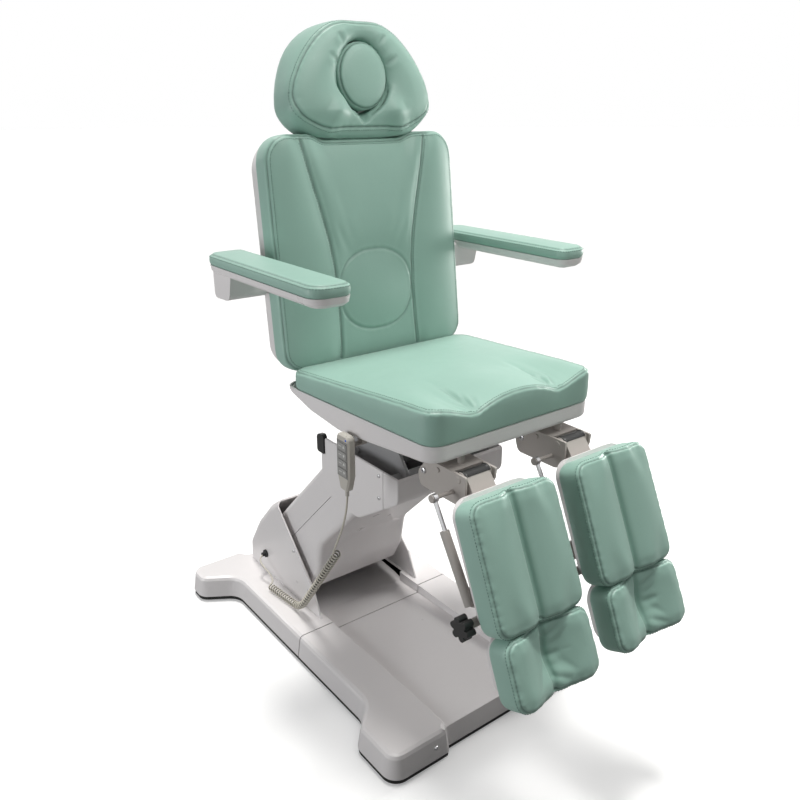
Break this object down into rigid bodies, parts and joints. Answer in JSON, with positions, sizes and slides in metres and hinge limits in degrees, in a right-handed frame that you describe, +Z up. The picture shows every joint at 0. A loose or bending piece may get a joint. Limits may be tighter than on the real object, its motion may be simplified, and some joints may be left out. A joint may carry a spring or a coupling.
{
  "type": "facial bed",
  "caption": "Powered treatment chair on a flared base: parallelogram lift arm, padded seat, reclining back, headrest, armrests and split sliding leg rests.",
  "frame": {"origin": "bottom centre of the bounding box at rest, on the floor under the middle of the chair", "axes": "+Z up, -Y towards the front of the seat, +X to the sitter's left"},
  "size_m": [0.834, 1.4275, 1.7522],
  "materials": {
    "upholstery": "soft leatherette",
    "white_plastic": "gloss",
    "black_steel": "satin",
    "grey_steel": "satin",
    "cream_steel": "satin",
    "bright_steel": "brushed",
    "black_plastic": "matt",
    "rubber": "matt",
    "handset_plastic": "satin",
    "key_rubber": "matt",
    "cord": "satin"
  },
  "bodies": {
    "base": {"base_plate": "black_steel", "floor_pads": "rubber", "front_base_cover": "white_plastic", "rear_base_cover": "white_plastic", "cord_gland": "white_plastic", "lift_bracket": "grey_steel", "handset_cord_tail": "cord", "handset_cord_coil": "cord", "handset_cord_lead": "cord"},
    "lift_arm": {"arm_beam": "grey_steel", "arm_shell_upper": "white_plastic", "arm_shell_lower": "white_plastic"},
    "parallel_link": {"parallel_link": "grey_steel"},
    "lift_motor": {"lift_actuator_motor": "black_plastic"},
    "lift_rod": {"lift_actuator_rod": "bright_steel"},
    "seat": {"seat_support": "grey_steel", "support_cover_front": "white_plastic", "support_cover_rear": "white_plastic", "cover_end_caps": "black_plastic", "seat_pan": "white_plastic", "seat_cushion": "upholstery", "handset_hook": "cream_steel", "handset_case": "handset_plastic", "leg_brackets": "cream_steel", "back_actuator_motor": "black_plastic"},
    "backrest": {"back_frame": "grey_steel", "back_shell": "white_plastic", "back_cushion": "upholstery", "armrest_mounts": "bright_steel"},
    "back_rod": {"back_actuator_rod": "bright_steel"},
    "headrest_bar": {"headrest_bar": "bright_steel"},
    "headrest": {"headrest_plate": "black_steel", "headrest_cushion": "upholstery"},
    "headrest_plug": {"headrest_plug": "upholstery"},
    "armrest_left": {"armrest_shell_left": "white_plastic", "armrest_pad_left": "upholstery"},
    "armrest_right": {"armrest_shell_right": "white_plastic", "armrest_pad_right": "upholstery"},
    "leg_left": {"leg_frame_left": "cream_steel", "leg_shell_left": "white_plastic", "calf_cushion_left": "upholstery", "strut_tube_left": "cream_steel"},
    "strut_rod_left": {"strut_rod_left": "bright_steel"},
    "foot_left": {"foot_slide_bar_left": "bright_steel", "foot_shell_left": "white_plastic", "foot_cushion_left": "upholstery"},
    "leg_knob_left": {"leg_knob_left": "black_plastic"},
    "leg_right": {"leg_frame_right": "cream_steel", "leg_shell_right": "white_plastic", "calf_cushion_right": "upholstery", "strut_tube_right": "cream_steel"},
    "strut_rod_right": {"strut_rod_right": "bright_steel"},
    "foot_right": {"foot_slide_bar_right": "bright_steel", "foot_shell_right": "white_plastic", "foot_cushion_right": "upholstery"},
    "leg_knob_right": {"leg_knob_right": "black_plastic"},
    "key_1": {"handset_key_1": "key_rubber"},
    "key_2": {"handset_key_2": "key_rubber"},
    "key_3": {"handset_key_3": "key_rubber"},
    "key_4": {"handset_key_4": "key_rubber"}
  },
  "joints": [
    {"name": "lift", "type": "hinge", "parent": "base", "child": "lift_arm", "pos_m": [0, 0.42199, 0.25], "axis": [-1, 0, 0], "range_deg": [-42, 5], "deforming": ["handset_cord_tail", "handset_cord_coil", "handset_cord_lead"]},
    {"name": "link_swing", "type": "hinge", "parent": "base", "child": "parallel_link", "pos_m": [0, 0.45199, 0.3], "axis": [-1, 0, 0], "range_deg": [-42, 5]},
    {"name": "seat_level", "type": "hinge", "parent": "lift_arm", "child": "seat", "pos_m": [0, 0.04015, 0.63184], "axis": [-1, 0, 0], "range_deg": [-5, 42]},
    {"name": "lift_motor_swing", "type": "hinge", "parent": "base", "child": "lift_motor", "pos_m": [0, 0.37699, 0.155], "axis": [-1, 0, 0], "range_deg": [-37.98, 4.53]},
    {"name": "lift_rod_swing", "type": "hinge", "parent": "lift_arm", "child": "lift_rod", "pos_m": [0, 0.18865, 0.48335], "axis": [-1, 0, 0], "range_deg": [-0.49, 4.04]},
    {"name": "back_recline", "type": "hinge", "parent": "seat", "child": "backrest", "pos_m": [0, 0.18199, 0.885], "axis": [-1, 0, 0], "range_deg": [0, 80]},
    {"name": "back_rod_swing", "type": "hinge", "parent": "backrest", "child": "back_rod", "pos_m": [0, 0.21413, 0.8467], "axis": [-1, 0, 0], "range_deg": [-80, 0]},
    {"name": "headrest_slide", "type": "slide", "parent": "backrest", "child": "headrest_bar", "axis": [0, 0.1132, 0.9936], "range_m": [0, 0.12]},
    {"name": "headrest_tilt", "type": "hinge", "parent": "headrest_bar", "child": "headrest", "pos_m": [0, 0.31876, 1.53771], "axis": [-1, 0, 0], "range_deg": [0, 25]},
    {"name": "headrest_plug_pull", "type": "slide", "parent": "headrest", "child": "headrest_plug", "axis": [0, -0.9936, 0.1132], "range_m": [0, 0.11]},
    {"name": "armrest_lift_left", "type": "hinge", "parent": "backrest", "child": "armrest_left", "pos_m": [0.35, 0.25171, 1.13471], "axis": [-1, 0, 0], "range_deg": [0, 90]},
    {"name": "armrest_lift_right", "type": "hinge", "parent": "backrest", "child": "armrest_right", "pos_m": [-0.35, 0.25171, 1.13471], "axis": [-1, 0, 0], "range_deg": [0, 90]},
    {"name": "leg_lift_left", "type": "hinge", "parent": "seat", "child": "leg_left", "pos_m": [0.1555, -0.42101, 0.806], "axis": [-1, 0, 0], "range_deg": [0, 66]},
    {"name": "strut_rod_swing_left", "type": "hinge", "parent": "seat", "child": "strut_rod_left", "pos_m": [0.0575, -0.40519, 0.77269], "axis": [-1, 0, 0], "range_deg": [0, 66]},
    {"name": "foot_slide_left", "type": "slide", "parent": "leg_left", "child": "foot_left", "axis": [0, -0.4067, -0.9135], "range_m": [0, 0.1]},
    {"name": "leg_knob_turn_left", "type": "hinge", "parent": "leg_left", "child": "leg_knob_left", "pos_m": [0.0335, -0.55033, 0.54504], "axis": [1, 0, 0], "continuous": true},
    {"name": "leg_lift_right", "type": "hinge", "parent": "seat", "child": "leg_right", "pos_m": [-0.1555, -0.42101, 0.806], "axis": [-1, 0, 0], "range_deg": [0, 66]},
    {"name": "strut_rod_swing_right", "type": "hinge", "parent": "seat", "child": "strut_rod_right", "pos_m": [-0.2535, -0.40519, 0.77269], "axis": [-1, 0, 0], "range_deg": [0, 66]},
    {"name": "foot_slide_right", "type": "slide", "parent": "leg_right", "child": "foot_right", "axis": [0, -0.4067, -0.9135], "range_m": [0, 0.1]},
    {"name": "leg_knob_turn_right", "type": "hinge", "parent": "leg_right", "child": "leg_knob_right", "pos_m": [-0.2775, -0.55033, 0.54504], "axis": [1, 0, 0], "continuous": true},
    {"name": "key_press_1", "type": "slide", "parent": "seat", "child": "key_1", "axis": [1, 0, 0], "range_m": [0, 0.001], "stiffness_N_per_m": 600},
    {"name": "key_press_2", "type": "slide", "parent": "seat", "child": "key_2", "axis": [1, 0, 0], "range_m": [0, 0.001], "stiffness_N_per_m": 600},
    {"name": "key_press_3", "type": "slide", "parent": "seat", "child": "key_3", "axis": [1, 0, 0], "range_m": [0, 0.001], "stiffness_N_per_m": 600},
    {"name": "key_press_4", "type": "slide", "parent": "seat", "child": "key_4", "axis": [1, 0, 0], "range_m": [0, 0.001], "stiffness_N_per_m": 600}
  ],
  "couplings": [
    {"joint": "link_swing", "follows": "lift", "ratio": 1},
    {"joint": "seat_level", "follows": "lift", "ratio": -1},
    {"joint": "lift_motor_swing", "follows": "lift", "ratio": 0.904},
    {"joint": "lift_rod_swing", "follows": "lift", "ratio": -0.096},
    {"joint": "back_rod_swing", "follows": "back_recline", "ratio": -1},
    {"joint": "strut_rod_swing_left", "follows": "leg_lift_left", "ratio": 1},
    {"joint": "strut_rod_swing_right", "follows": "leg_lift_right", "ratio": 1}
  ]
}
